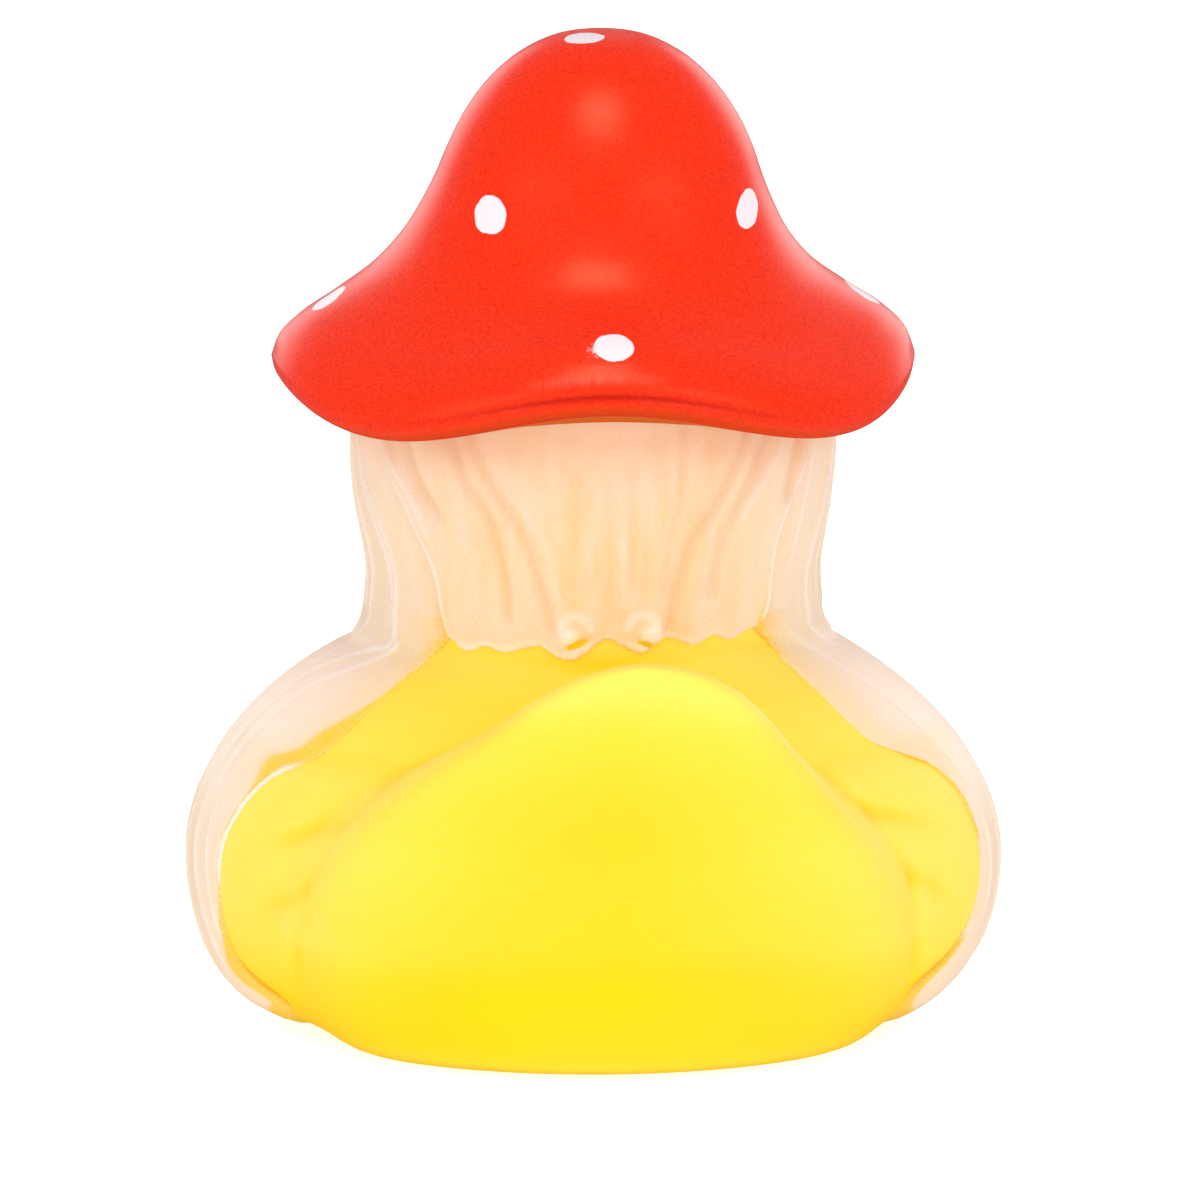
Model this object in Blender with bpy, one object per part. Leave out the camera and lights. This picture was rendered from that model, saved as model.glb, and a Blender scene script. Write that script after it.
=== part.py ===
"""Rubber duck wearing a mushroom cap and a pleated robe: one hollow shell of soft vinyl.

The duck faces -Y and stands on the flat of its base at z = 0. It is a single casting and so a single
solid: the forms that make up the duck are joined, then the hollow and the vent are taken out.
"""

import math

import bmesh
import bpy
from mathutils import Matrix, Vector
from mathutils.geometry import interpolate_bezier

MM = 0.001

# Overall sizes. The duck stands as tall as its body, neck and cap together.
BODY_WIDTH = 78.4 * MM
BODY_LENGTH = 80.6 * MM
BODY_HEIGHT = 35.6 * MM
NECK_HEIGHT = 23.8 * MM
CAP_HEIGHT = 34.9 * MM
CAP_WIDTH = 61.6 * MM
SHOULDER_Z = BODY_HEIGHT
UNDERSIDE_Z = SHOULDER_Z + NECK_HEIGHT
CAP_TOP_Z = UNDERSIDE_Z + CAP_HEIGHT

# Casting
WALL = 2.3 * MM
VENT_DIAMETER = 4.0 * MM

# Body, from the flat of the base up to the foot of the neck
BELLY_Z = 14.0 * MM
BASE_WIDTH = 60.6 * MM
BASE_LENGTH = 72.4 * MM
BASE_CLEARANCE = 0.4 * MM
SHOULDER_FULLNESS = 0.85
RUMP_FULLNESS = 0.55

# Robe: its neck, its hem at the back, its pleats and the edges that hang open over the wings.
# The neck's levels are measured up from the shoulder, and it runs on into the cap by its lap.
NECK_FOOT_WIDTH = 45.6 * MM
WAIST_Z = SHOULDER_Z + 6.4 * MM
WAIST_WIDTH = 43.6 * MM
NECK_TOP_Z = SHOULDER_Z + 16.9 * MM
NECK_TOP_WIDTH = 46.4 * MM
NECK_LAP = 6.6 * MM
NECK_END_Z = UNDERSIDE_Z + NECK_LAP
ROBE_THICKNESS = 1.0 * MM
HEM_RISE = 2.6 * MM
PLEATS = 30
PLEAT_DEPTH = 0.6 * MM
OPENING_ANGLE = math.radians(70)
OPENING_ANGLE_AT_NECK = math.radians(42)
OPENING_ANGLE_AT_BASE = math.radians(56)
CAPE_OVERLAP = 1.4 * MM

# Cap: a bell over a rolled brim that is high at the front and back and low at four lobes between.
# Its levels are measured up from its underside.
APEX_RADIUS = 0.8 * MM
DOME_FULLNESS = 8.4 * MM
SHOULDER_RADIUS = 14.9 * MM
SHOULDER_OF_CAP_Z = UNDERSIDE_Z + 23.2 * MM
SHOULDER_SLOPE = 0.36
FLARE_RADIUS = 21.3 * MM
FLARE_Z = UNDERSIDE_Z + 12.5 * MM
FLARE_SLOPE = 1.1
BRIM_Z = UNDERSIDE_Z + 3.3 * MM
BRIM_ROLL = 2.3 * MM
BRIM_WAVE_START = 17.0 * MM
REAR_RISE = 3.6 * MM
SIDE_RISE = 0.4 * MM
LOBE_DROP = 1.5 * MM

# Tail: a broad paddle with a rounded point, which leans a little to the duck's right
TAIL_TIP_Z = 40.2 * MM
TAIL_TIP_Y = 38.2 * MM
TAIL_WIDTH = 57.6 * MM
TAIL_POINT = 1.5
TAIL_FULLNESS = 0.7
TAIL_THICKNESS = 26.0 * MM
TAIL_EDGE = 2.4 * MM
TAIL_LEAN = 2.3 * MM

# Feathers: three soft lobes on the back of each wing, which run in under the robe's edge
FEATHER_HEIGHTS = (25.8 * MM, 18.4 * MM, 11.0 * MM)
FEATHER_SETBACK = math.radians(10)
FEATHER_SIZE = (9.5 * MM, 2.2 * MM, 4.4 * MM)
FEATHER_RELIEF = 0.9 * MM

# Face, the hood's rim, and the bill as half sizes: across, along and thick
FACE_Z = SHOULDER_Z + 14.8 * MM
FACE_SIZE = (12.4 * MM, 5.2 * MM, 10.2 * MM)
FACE_RELIEF = 2.4 * MM
HOOD_RIM = 1.5 * MM
BILL_Z = SHOULDER_Z + 11.6 * MM
UPPER_BILL = (8.4 * MM, 11.0 * MM, 2.9 * MM)
LOWER_BILL = (6.9 * MM, 8.8 * MM, 2.4 * MM)
BILL_STEP = 2.9 * MM
BILL_TILT = math.radians(-9)

# Fineness of the facets
BODY_COLUMNS = 40
CAP_COLUMNS = 40
TAIL_COLUMNS = 22
HOLLOW_COLUMNS = 24


def clear_scene():
    for thing in list(bpy.data.objects):
        bpy.data.objects.remove(thing)


def new_collection(name):
    made = bpy.data.collections.new(name)
    bpy.context.scene.collection.children.link(made)
    return made


def put_in(thing, collection):
    for old in thing.users_collection:
        old.objects.unlink(thing)
    collection.objects.link(thing)
    return thing


def soft_vinyl(name, colour, roughness):
    """Plasticised vinyl with a satin skin. Robe, cap, bill, eyes and spots are paint on the same skin."""
    made = bpy.data.materials.new(name)
    made.use_nodes = True
    shader = made.node_tree.nodes["Principled BSDF"]
    shader.inputs["Base Color"].default_value = (*colour, 1.0)
    shader.inputs["Roughness"].default_value = roughness
    shader.inputs["Metallic"].default_value = 0.0
    return made


def ease(share):
    """0 up to 0, 1 from 1 on, and an S-curve between."""
    share = min(1.0, max(0.0, share))
    return share * share * (3 - 2 * share)


def between(low, high, count, crowded=False):
    """count heights from low to high. They crowd towards both ends where the form turns fast there."""
    shares = [i / (count - 1) for i in range(count)]
    if crowded:
        shares = [(1 - math.cos(math.pi * share)) / 2 for share in shares]
    return [low + (high - low) * share for share in shares]


def loft(name, rings, collection):
    """A closed skin over rings of equal point counts, lowest first, each anticlockwise seen from above."""
    mesh = bpy.data.meshes.new(name)
    skin = bmesh.new()
    rows = [[skin.verts.new(point) for point in ring] for ring in rings]
    for low, high in zip(rows, rows[1:]):
        for i in range(len(low)):
            j = (i + 1) % len(low)
            skin.faces.new((low[i], low[j], high[j], high[i]))
    skin.faces.new(reversed(rows[0]))
    skin.faces.new(rows[-1])
    skin.to_mesh(mesh)
    skin.free()
    made = bpy.data.objects.new(name, mesh)
    collection.objects.link(made)
    return made


def full_turn(columns):
    """Angles of a whole ring. 0 is the rear (+Y), and they go round by the duck's right side (-X)."""
    return [2 * math.pi * i / columns for i in range(columns)]


def at(angle, half_width, half_length, z):
    """The point of an oval ring in the direction of angle."""
    return Vector((-half_width * math.sin(angle), half_length * math.cos(angle), z))


def body_halves(z, shrink=0.0):
    """Half width and half length of the robed body at height z: a low, wide egg between base and neck."""
    foot = NECK_FOOT_WIDTH / 2
    widest = (BODY_WIDTH / 2, BODY_LENGTH / 2)
    rims = (foot, foot) if z > BELLY_Z else (BASE_WIDTH / 2, BASE_LENGTH / 2)
    span = SHOULDER_Z - BELLY_Z if z > BELLY_Z else BELLY_Z
    share = min(1.0, abs(z - BELLY_Z) / span)
    fullness = SHOULDER_FULLNESS if z > BELLY_Z else RUMP_FULLNESS
    swell = (1 - share * share) ** fullness
    return [rim + (wide - rim) * swell - shrink for rim, wide in zip(rims, widest)]


def neck_half(z, shrink=0.0):
    """Radius of the robe's neck: pulled in at the waist and wider again under the cap."""
    if z < WAIST_Z:
        share = (WAIST_Z - z) / (WAIST_Z - SHOULDER_Z)
        width = WAIST_WIDTH + (NECK_FOOT_WIDTH - WAIST_WIDTH) * share * share
    else:
        width = WAIST_WIDTH + (NECK_TOP_WIDTH - WAIST_WIDTH) * ease((z - WAIST_Z) / (NECK_TOP_Z - WAIST_Z))
    return width / 2 - shrink


def duck_core(name, collection, shrink, columns, rows, floor=0.0):
    """Body and neck without the robe. With more shrink and a raised floor it is the hollow inside."""
    rings = []
    for z in between(floor, BELLY_Z, rows // 2, crowded=True)[:-1]:
        rings.append([at(a, *body_halves(z, shrink), z) for a in full_turn(columns)])
    for z in between(BELLY_Z, SHOULDER_Z, rows, crowded=True)[:-1]:
        rings.append([at(a, *body_halves(z, shrink), z) for a in full_turn(columns)])
    for z in between(SHOULDER_Z, NECK_END_Z, rows // 2):
        rings.append([at(a, neck_half(z, shrink), neck_half(z, shrink), z) for a in full_turn(columns)])
    return loft(name, rings, collection)


def opening_angle(z):
    """How far round from the rear the robe's edge hangs at height z."""
    towards_neck = ease((z - BELLY_Z) / (SHOULDER_Z - BELLY_Z))
    towards_base = 1 - ease(2 * z / BELLY_Z)
    angle = OPENING_ANGLE - (OPENING_ANGLE - OPENING_ANGLE_AT_NECK) * towards_neck
    return angle - (OPENING_ANGLE - OPENING_ANGLE_AT_BASE) * towards_base


def robe_cape(collection):
    """The part of the robe over breast and wings: a pleated layer, C-shaped in plan, open at the back."""
    columns = 2 * PLEATS
    rings = []
    for z in between(BASE_CLEARANCE, SHOULDER_Z, 14):
        edge = opening_angle(z)
        angles = [edge + (2 * math.pi - 2 * edge) * i / columns for i in range(columns + 1)]
        outer = [at(a, *body_halves(z, PLEAT_DEPTH * (i % 2)), z) for i, a in enumerate(angles)]
        inner = [at(a, *body_halves(z, ROBE_THICKNESS + CAPE_OVERLAP), z) for a in reversed(angles)]
        rings.append(outer + inner)
    return loft("cape_form", rings, collection)


def robe_neck(collection):
    """The part of the robe round the neck. Its hem lies on the back and rises a little there."""
    columns = 2 * PLEATS
    rings = []
    for z in between(SHOULDER_Z - ROBE_THICKNESS, NECK_END_Z - ROBE_THICKNESS, 12):
        fade = 1 - ease((z - SHOULDER_Z) / (NECK_TOP_Z - SHOULDER_Z))
        ring = []
        for i, a in enumerate(full_turn(columns)):
            radius = neck_half(max(z, SHOULDER_Z), PLEAT_DEPTH * (i % 2))
            lift = HEM_RISE * fade * max(0.0, math.cos(a)) ** 2
            ring.append(at(a, radius, radius, z + lift))
        rings.append(ring)
    return loft("neck_form", rings, collection)


def brim_wave(angle):
    """Rise of the brim above its mean line. It peaks at front and rear, and dips between them."""
    mean = (REAR_RISE + SIDE_RISE - 2 * LOBE_DROP) / 4
    four_lobes = (REAR_RISE + SIDE_RISE + 2 * LOBE_DROP) / 4
    two_lobes = (REAR_RISE - SIDE_RISE) / 2
    return mean + four_lobes * math.cos(4 * angle) + two_lobes * math.cos(2 * angle)


def bell_line():
    """(radius, z) down the outside of the cap, from its apex to the brim."""
    apex = Vector((APEX_RADIUS, CAP_TOP_Z, 0.0))
    shoulder = Vector((SHOULDER_RADIUS, SHOULDER_OF_CAP_Z, 0.0))
    flare = Vector((FLARE_RADIUS, FLARE_Z, 0.0))
    brim = Vector((CAP_WIDTH / 2, BRIM_Z, 0.0))
    third = (SHOULDER_OF_CAP_Z - FLARE_Z) / 3
    steep = Vector((SHOULDER_SLOPE, -1, 0)) * third
    spread = Vector((FLARE_SLOPE, -1, 0)) * third
    over = apex + Vector((DOME_FULLNESS, 0, 0))
    dome = interpolate_bezier(apex, over, shoulder - 1.5 * steep, shoulder, 8)
    waist = interpolate_bezier(shoulder, shoulder + steep, flare - spread, flare, 5)
    skirt = interpolate_bezier(flare, flare + spread, brim + Vector((0, BRIM_ROLL, 0)), brim, 7)
    return [(point.x, point.y) for point in dome[:-1] + waist[:-1] + skirt]


def mushroom_cap(collection):
    """The bell, the roll of its brim, and the underside that dips a little towards the neck."""
    brim = CAP_WIDTH / 2
    roll = [math.radians(30 * step) for step in range(1, 5)]
    line = bell_line()
    line += [(brim - BRIM_ROLL * (1 - math.cos(a)), BRIM_Z - BRIM_ROLL * math.sin(a)) for a in roll]
    line += [(NECK_TOP_WIDTH / 2, UNDERSIDE_Z), (NECK_TOP_WIDTH / 2 - WALL, UNDERSIDE_Z)]
    rings = []
    for radius, z in reversed(line):
        share = ease((radius - BRIM_WAVE_START) / (brim - BRIM_WAVE_START))
        rings.append([at(a, radius, radius, z + share * brim_wave(a)) for a in full_turn(CAP_COLUMNS)])
    return loft("cap_form", rings, collection)


def dome_hollow(collection):
    """The hollow under the dome. Vinyl fills the brim, which is too thin to stay open."""
    widest = NECK_TOP_WIDTH / 2 - WALL - PLEAT_DEPTH
    line = [(radius - WALL, z - WALL) for radius, z in bell_line() if 0 < radius - WALL < widest]
    line.append((line[-1][0], UNDERSIDE_Z))
    rings = []
    for radius, z in reversed(line):
        rings.append([at(a, radius, radius, z) for a in full_turn(HOLLOW_COLUMNS)])
    return loft("dome_hollow", rings, collection)


def tail(name, collection, shrink=0.0):
    """The upturned tail. It widens fast from the tip, then evenly, and runs down into the rump."""
    tip = TAIL_TIP_Z - shrink
    rings = []
    for z in between(BASE_CLEARANCE + shrink, BELLY_Z, 6)[:-1] + between(BELLY_Z, tip, 10, crowded=True):
        down = min(1.0, (tip - z) / (tip - BELLY_Z))
        spread = (1 - (1 - down) ** TAIL_POINT) ** TAIL_FULLNESS
        rump_width, rump = body_halves(min(z, BELLY_Z))
        narrowing = rump_width / (BODY_WIDTH / 2)
        width = max(TAIL_EDGE / 2, TAIL_WIDTH / 2 * spread * narrowing - shrink)
        rear = TAIL_TIP_Y + (rump - TAIL_TIP_Y) * spread - shrink
        front = TAIL_TIP_Y - TAIL_EDGE - (TAIL_THICKNESS - TAIL_EDGE) * down + shrink
        depth = max(TAIL_EDGE / 2, (rear - front) / 2)
        middle = rear - depth
        lean = TAIL_LEAN * (1 - down) ** 2
        rings.append([at(a, width, depth, z) + Vector((-lean, middle, 0)) for a in full_turn(TAIL_COLUMNS)])
    return loft(name, rings, collection)


def ball(name, half_sizes, matrix, collection, segments=18, rings=10):
    """An ellipsoid of the given half sizes, turned and placed by matrix."""
    bpy.ops.mesh.primitive_uv_sphere_add(segments=segments, ring_count=rings, radius=1.0)
    made = put_in(bpy.context.object, collection)
    made.name = name
    made.data.transform(matrix @ Matrix.Diagonal((*half_sizes, 1.0)))
    return made


def wing_feathers(collection):
    """Rounded feather lobes, which stand a little proud where the robe hangs open."""
    made = []
    for side, sign in (("right", 1), ("left", -1)):
        for i, z in enumerate(FEATHER_HEIGHTS):
            turn = sign * (opening_angle(z) - FEATHER_SETBACK)
            place = at(turn, *body_halves(z, ROBE_THICKNESS + FEATHER_SIZE[1] - FEATHER_RELIEF), z)
            matrix = Matrix.Translation(place) @ Matrix.Rotation(turn, 4, "Z")
            made.append(ball(f"feather_form_{side}_{i}", FEATHER_SIZE, matrix, collection, 16, 10))
    return made


def face_and_bill(collection):
    """Round face, the hood's rim round it, and a bill with its two halves closed on each other."""
    front = -neck_half(FACE_Z)
    face_y = front - FACE_RELIEF + FACE_SIZE[1]
    face = ball("face_form", FACE_SIZE, Matrix.Translation((0, face_y, FACE_Z)), collection, 20, 12)
    bpy.ops.mesh.primitive_torus_add(
        major_radius=1.0, minor_radius=HOOD_RIM / FACE_SIZE[2], major_segments=24, minor_segments=8
    )
    rim = put_in(bpy.context.object, collection)
    rim.name = "hood_rim_form"
    upright = Matrix.Rotation(math.radians(90), 4, "X")
    size = Matrix.Diagonal((FACE_SIZE[0], FACE_SIZE[2], FACE_SIZE[2], 1.0))
    rim.data.transform(Matrix.Translation((0, front + 2 * HOOD_RIM, FACE_Z)) @ upright @ size)
    tilt = Matrix.Rotation(BILL_TILT, 4, "X")
    high = Matrix.Translation((0, front - FACE_RELIEF, BILL_Z)) @ tilt
    low = Matrix.Translation((0, front - FACE_RELIEF, BILL_Z - BILL_STEP)) @ tilt
    upper_bill = ball("upper_bill_form", UPPER_BILL, high, collection)
    lower_bill = ball("lower_bill_form", LOWER_BILL, low, collection)
    return [face, rim, upper_bill, lower_bill]


def vent(collection):
    """A round hole through the middle of the base, where the casting lets its air out."""
    bpy.ops.mesh.primitive_cylinder_add(vertices=24, radius=VENT_DIAMETER / 2, depth=4 * WALL)
    made = put_in(bpy.context.object, collection)
    made.name = "vent_cutter"
    return made


def combine(target, form, operation):
    """Join form to target or take it out, and hide it. Forms may graze, and the skin still closes."""
    modifier = target.modifiers.new(form.name, "BOOLEAN")
    modifier.object = form
    modifier.operation = operation
    modifier.solver = "MANIFOLD"
    form.hide_render = True
    form.display_type = "WIRE"


def main():
    clear_scene()
    duck = new_collection("rubber_duck")
    forms = new_collection("forms_and_cutters")

    shell = duck_core("duck_shell", duck, ROBE_THICKNESS, BODY_COLUMNS, 14)
    shell.data.materials.append(soft_vinyl("yellow_vinyl", (1.0, 0.80, 0.03), 0.45))
    joined = [robe_cape(forms), robe_neck(forms), mushroom_cap(forms), tail("tail_form", forms)]
    joined += wing_feathers(forms) + face_and_bill(forms)
    inside = ROBE_THICKNESS + WALL
    hollow = duck_core("body_hollow", forms, inside, HOLLOW_COLUMNS, 8, floor=WALL)
    removed = [hollow, dome_hollow(forms), tail("tail_hollow", forms, shrink=WALL), vent(forms)]
    for form in joined:
        combine(shell, form, "UNION")
    for form in removed:
        combine(shell, form, "DIFFERENCE")
    shell.data.shade_smooth()
    shell.data.set_sharp_from_angle(angle=math.radians(40))


main()
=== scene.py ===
# %% [markdown]
# # A rubber duck in a mushroom cap
#
# The duck is one hollow casting of soft vinyl with paint sprayed through masks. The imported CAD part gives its
# size, hollow and collision, and this notebook the skin that the eye sees: surfaces worked out with numpy
# from a few measured lines, because a casting has no flat faces and no straight edges.

import bpy
import numpy as np
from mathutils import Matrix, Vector


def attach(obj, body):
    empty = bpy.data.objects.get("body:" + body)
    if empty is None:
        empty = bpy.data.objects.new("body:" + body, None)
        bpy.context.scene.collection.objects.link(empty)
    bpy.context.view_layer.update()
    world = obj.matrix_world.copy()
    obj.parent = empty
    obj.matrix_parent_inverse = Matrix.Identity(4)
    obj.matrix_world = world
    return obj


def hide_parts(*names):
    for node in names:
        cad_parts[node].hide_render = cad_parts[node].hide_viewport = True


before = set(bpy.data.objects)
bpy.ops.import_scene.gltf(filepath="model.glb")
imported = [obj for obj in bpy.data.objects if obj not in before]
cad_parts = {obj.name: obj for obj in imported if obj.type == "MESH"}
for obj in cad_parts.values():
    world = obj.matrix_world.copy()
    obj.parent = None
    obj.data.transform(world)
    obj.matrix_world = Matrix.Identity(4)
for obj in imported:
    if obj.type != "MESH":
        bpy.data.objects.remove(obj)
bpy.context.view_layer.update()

MM = 0.001

# %% [markdown]
# ## The camera
#
# The photograph shows the duck from behind, a little to its left side and 12 degrees from above, through a
# long lens. The camera comes first, so that every piece can be judged in place.

# %% The camera
FRAME_WIDTH = 115.7 * MM
TARGET = Vector((-1.12, -7.82, 37.03)) * MM
CAMERA_DISTANCE = 3.2
AZIMUTH, ELEVATION = 176.7, 12


def placed(name, data):
    """A new object in the scene that holds data, at the origin."""
    made = bpy.data.objects.new(name, data)
    bpy.context.scene.collection.objects.link(made)
    return made


def aimed(name, data, target, azimuth, elevation, distance):
    """A new object that looks at target from a distance. The way back from target is the unit vector
    (sin a cos e, -cos a cos e, sin e), for azimuth a and elevation e."""
    turn, up = np.radians(azimuth), np.radians(elevation)
    back = Vector((np.sin(turn) * np.cos(up), -np.cos(turn) * np.cos(up), np.sin(up)))
    made = placed(name, data)
    made.location = target + distance * back
    made.rotation_euler = back.to_track_quat("Z", "Y").to_euler()
    return made


view = bpy.data.cameras.new("camera")
view.lens = view.sensor_width * CAMERA_DISTANCE / FRAME_WIDTH
view.clip_end = 50
camera = aimed("camera", view, TARGET, AZIMUTH, ELEVATION, CAMERA_DISTANCE)
bpy.context.scene.camera = camera
print("lens", round(view.lens), "mm at", CAMERA_DISTANCE, "m")

# %% [markdown]
# ## Lines and curves
#
# A few functions draw every form: one eases between two values, one is a hill that dies away on both sides,
# one runs smoothly through measured points, and one joins two forms with a soft valley, as a mould does. All
# of them take whole arrays. Lengths are in millimetres until a mesh is made.

# %% Easing, hills and smooth lines


def ease(share):
    """0 up to 0, 1 from 1 on, and between them the S-curve 3s^2 - 2s^3."""
    share = np.clip(share, 0, 1)
    return share * share * (3 - 2 * share)


def hill(distance, half_width):
    """A bell curve: 1 at distance 0, e^-1 at half_width, and almost nothing at twice that."""
    return np.exp(-((distance / half_width) ** 2))


def through(x, knots):
    """A smooth curve through (x, y) knots: cubic pieces that leave each knot at the mean slope beside it."""
    xs, ys = np.array(sorted(knots), float).T
    slopes = np.gradient(ys, xs)
    x = np.clip(x, xs[0], xs[-1])
    i = np.clip(np.searchsorted(xs, x) - 1, 0, len(xs) - 2)
    step = xs[i + 1] - xs[i]
    t = (x - xs[i]) / step
    start = ys[i] * (1 + 2 * t) * (1 - t) ** 2 + slopes[i] * step * t * (1 - t) ** 2
    return start + ys[i + 1] * t * t * (3 - 2 * t) + slopes[i + 1] * step * t * t * (t - 1)


def line_through(knots, count, first=0):
    """count even points along a smooth line through (radius, height) knots, from knot first on."""
    across, up = np.array(knots, float).T
    along = np.concatenate([[0], np.cumsum(np.hypot(np.diff(across), np.diff(up)))])
    places = np.linspace(along[first], along[-1], count)
    return through(places, zip(along, across)), through(places, zip(along, up))


def soft_min(a, b, width):
    """The lesser of two fields, rounded where they differ by less than w: min - (w - |a - b|)^2 / 4w."""
    overlap = np.maximum(width - np.abs(a - b), 0)
    return np.minimum(a, b) - overlap**2 / (4 * width)


def crowd(count, low, high, centre, gain, half_width):
    """count values from low to high, (1 + gain) times as close together at centre as far from it: the v for
    which v + gain * half_width * tanh((v - centre) / half_width) rises in even steps, found by halving."""
    def spread(v):
        return v + gain * half_width * np.tanh((v - centre) / half_width)

    shares = np.linspace(0, 1, count).reshape(-1, *[1] * np.ndim(low + centre))
    wanted = spread(low) + shares * (spread(high) - spread(low))
    below, above = low + 0 * wanted, high + 0 * wanted
    for _ in range(40):
        middle = (below + above) / 2
        short = spread(middle) < wanted
        below, above = np.where(short, middle, below), np.where(short, above, middle)
    return (below + above) / 2


print("half way:", ease(0.5), "and a hill's foot:", round(float(hill(2, 1)), 3))

# %% [markdown]
# ## From a grid to a mesh
#
# Every piece is a grid of points: rows from the bottom up, columns anticlockwise seen from above, so that its
# faces point outwards. A closed piece ends in one point at each end, and a ring joins its last row to its
# first. Numbers for the paint are stored beside the points. The object stays at the origin, unturned.

# %% Skins


def skin(name, grid, paint, values=(), ring=False):
    """A mesh over grid[row, column] = (x, y, z) in mm. Quads join neighbours, and fans to the mean points of
    the first and last rows close bottom and top, unless it is a ring."""
    rows, columns = grid.shape[:2]
    here = np.arange(rows * columns).reshape(rows, columns)
    if ring:
        here = np.concatenate([here, here[:1]])
    beside = np.roll(here, -1, axis=1)
    quads = np.stack([here[:-1], beside[:-1], beside[1:], here[1:]], axis=-1).reshape(-1, 4)
    points = grid.reshape(-1, 3)
    fans = np.zeros((0, 3), int)
    if not ring:
        points = np.concatenate([points, grid[:1].mean(1), grid[-1:].mean(1)])
        foot = np.stack([beside[0], here[0], np.full(columns, rows * columns)], axis=-1)
        top = np.stack([here[-1], beside[-1], np.full(columns, rows * columns + 1)], axis=-1)
        fans = np.concatenate([foot, top])
    mesh = bpy.data.meshes.new(name)
    mesh.vertices.add(len(points))
    mesh.vertices.foreach_set("co", (points * MM).ravel())
    mesh.loops.add(quads.size + fans.size)
    mesh.loops.foreach_set("vertex_index", np.concatenate([quads.ravel(), fans.ravel()]))
    mesh.polygons.add(len(quads) + len(fans))
    starts = np.concatenate([4 * np.arange(len(quads)), quads.size + 3 * np.arange(len(fans))])
    mesh.polygons.foreach_set("loop_start", starts)
    mesh.update(calc_edges=True)
    for label, numbers in dict(values).items():
        ends = [] if ring else [numbers[0].mean(), numbers[-1].mean()]
        stored = mesh.attributes.new(label, "FLOAT", "POINT")
        stored.data.foreach_set("value", np.append(numbers.ravel(), ends))
    mesh.shade_smooth()
    mesh.materials.append(paint)
    piece = placed(name, mesh)
    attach(piece, "root")
    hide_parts("duck_shell")
    print(f"{name}: {2 * len(quads) + len(fans)} triangles, {np.ptp(points, axis=0).round(1)} mm")


# %% [markdown]
# ## Colours and nodes
#
# Colours are sRGB hex, as the eye picks them from a screen, and one function turns them to the linear numbers
# that light adds up in. Another adds any node with its settings and links. The rest do what several paints
# need: start a material, break up a mask's edge into grains, and lay colours over each other.

# %% Colours and nodes
SCATTER_DEPTH = 0.8 * MM


def linear(code):
    """sRGB hex to linear RGBA: c / 12.92 in the darkest tones, ((c + 0.055) / 1.055) ^ 2.4 in the rest."""
    tones = [int(code[i:i + 2], 16) / 255 for i in (1, 3, 5)]
    return (*[c / 12.92 if c <= 0.04045 else ((c + 0.055) / 1.055) ** 2.4 for c in tones], 1)


def add(tree, kind, inputs=(), out=0, **settings):
    """Adds a node, sets its properties and fills its sockets with values, other nodes' outputs, or the names
    of numbers stored beside the points. Gives back its output number out."""
    node = tree.nodes.new("ShaderNode" + kind)
    for label, value in settings.items():
        setattr(node, label, value)
    for socket, value in dict(inputs).items():
        if isinstance(value, str):
            value = add(tree, "Attribute", out=2, attribute_name=value)
        if isinstance(value, bpy.types.NodeSocket):
            tree.links.new(value, node.inputs[socket])
        else:
            node.inputs[socket].default_value = value
    return node.outputs[out]


def per_metre(size):
    """The noise scale at which one grain is about size millimetres across."""
    return 1 / (size * MM)


def coat(name, roughness, ior, gloss, noises, tint=(1, 1, 1, 1)):
    """A new material, its node tree, the piece's own coordinates, and a noise for each (mm, detail)."""
    made = bpy.data.materials.new(name)
    made.use_nodes = True
    tree = made.node_tree
    settings = {"Roughness": roughness, "IOR": ior, "Specular IOR Level": gloss, "Specular Tint": tint}
    for label, value in settings.items():
        tree.nodes["Principled BSDF"].inputs[label].default_value = value
    place = add(tree, "TexCoord", out=3)
    return made, tree, place, *[
        add(tree, "TexNoise", {"Vector": place, "Scale": per_metre(size), "Detail": detail})
        for size, detail in noises
    ]


def ragged(tree, noise, share, label, low, high, most=1):
    """A mask with a grainy edge: a share of noise and the numbers stored under label, with low to high made 0
    to most."""
    loose = add(tree, "Math", {0: noise, 1: share, 2: label}, operation="MULTIPLY_ADD")
    return add(tree, "MapRange", {0: loose, 1: low, 2: high, 4: most})


def covered(made, first, layers, bump=None, weight=0, radii=(1, 0.2, 0.1)):
    """Lays colours, as hex or a node's output, over the first one by their masks and joins tone and bump to
    the shader. weight is the share of light that scatters below the skin, and radii its reach by colour."""
    tree, tone = made.node_tree, linear(first)
    for mask, colour in layers:
        upper = linear(colour) if isinstance(colour, str) else colour
        tone = add(tree, "Mix", {0: mask, 6: tone, 7: upper}, 2, data_type="RGBA")
    inputs = tree.nodes["Principled BSDF"].inputs
    tree.links.new(tone, inputs["Base Color"])
    if bump is not None:
        tree.links.new(bump, inputs["Normal"])
    for label, value in (("Weight", weight), ("Radius", radii), ("Scale", SCATTER_DEPTH)):
        inputs["Subsurface " + label].default_value = value
    return made


print("#ffffff is", linear("#ffffff"))

# %% [markdown]
# ## Soft vinyl, moulded
#
# Back, wings, tail and face show the casting itself: PVC with plasticiser, yellow right through. The mould
# leaves a satin skin with a very fine orange peel. Where the form turns in, light that has been through the
# yellow comes out deeper, so a little light scatters below the skin. The colour also holds painted light: a
# paler painted sheen up high, on the sides and on crests, and painted shade in hollows, grooves and low down.

# %% Moulded soft vinyl
PEEL = 0.42


def peel(tree, place, height):
    """Orange peel as a bump of the given height in mm."""
    grain = add(tree, "TexNoise", {"Vector": place, "Scale": per_metre(PEEL), "Detail": 2})
    return add(tree, "Bump", {"Height": grain, "Distance": height * MM, "Strength": 1})


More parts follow.
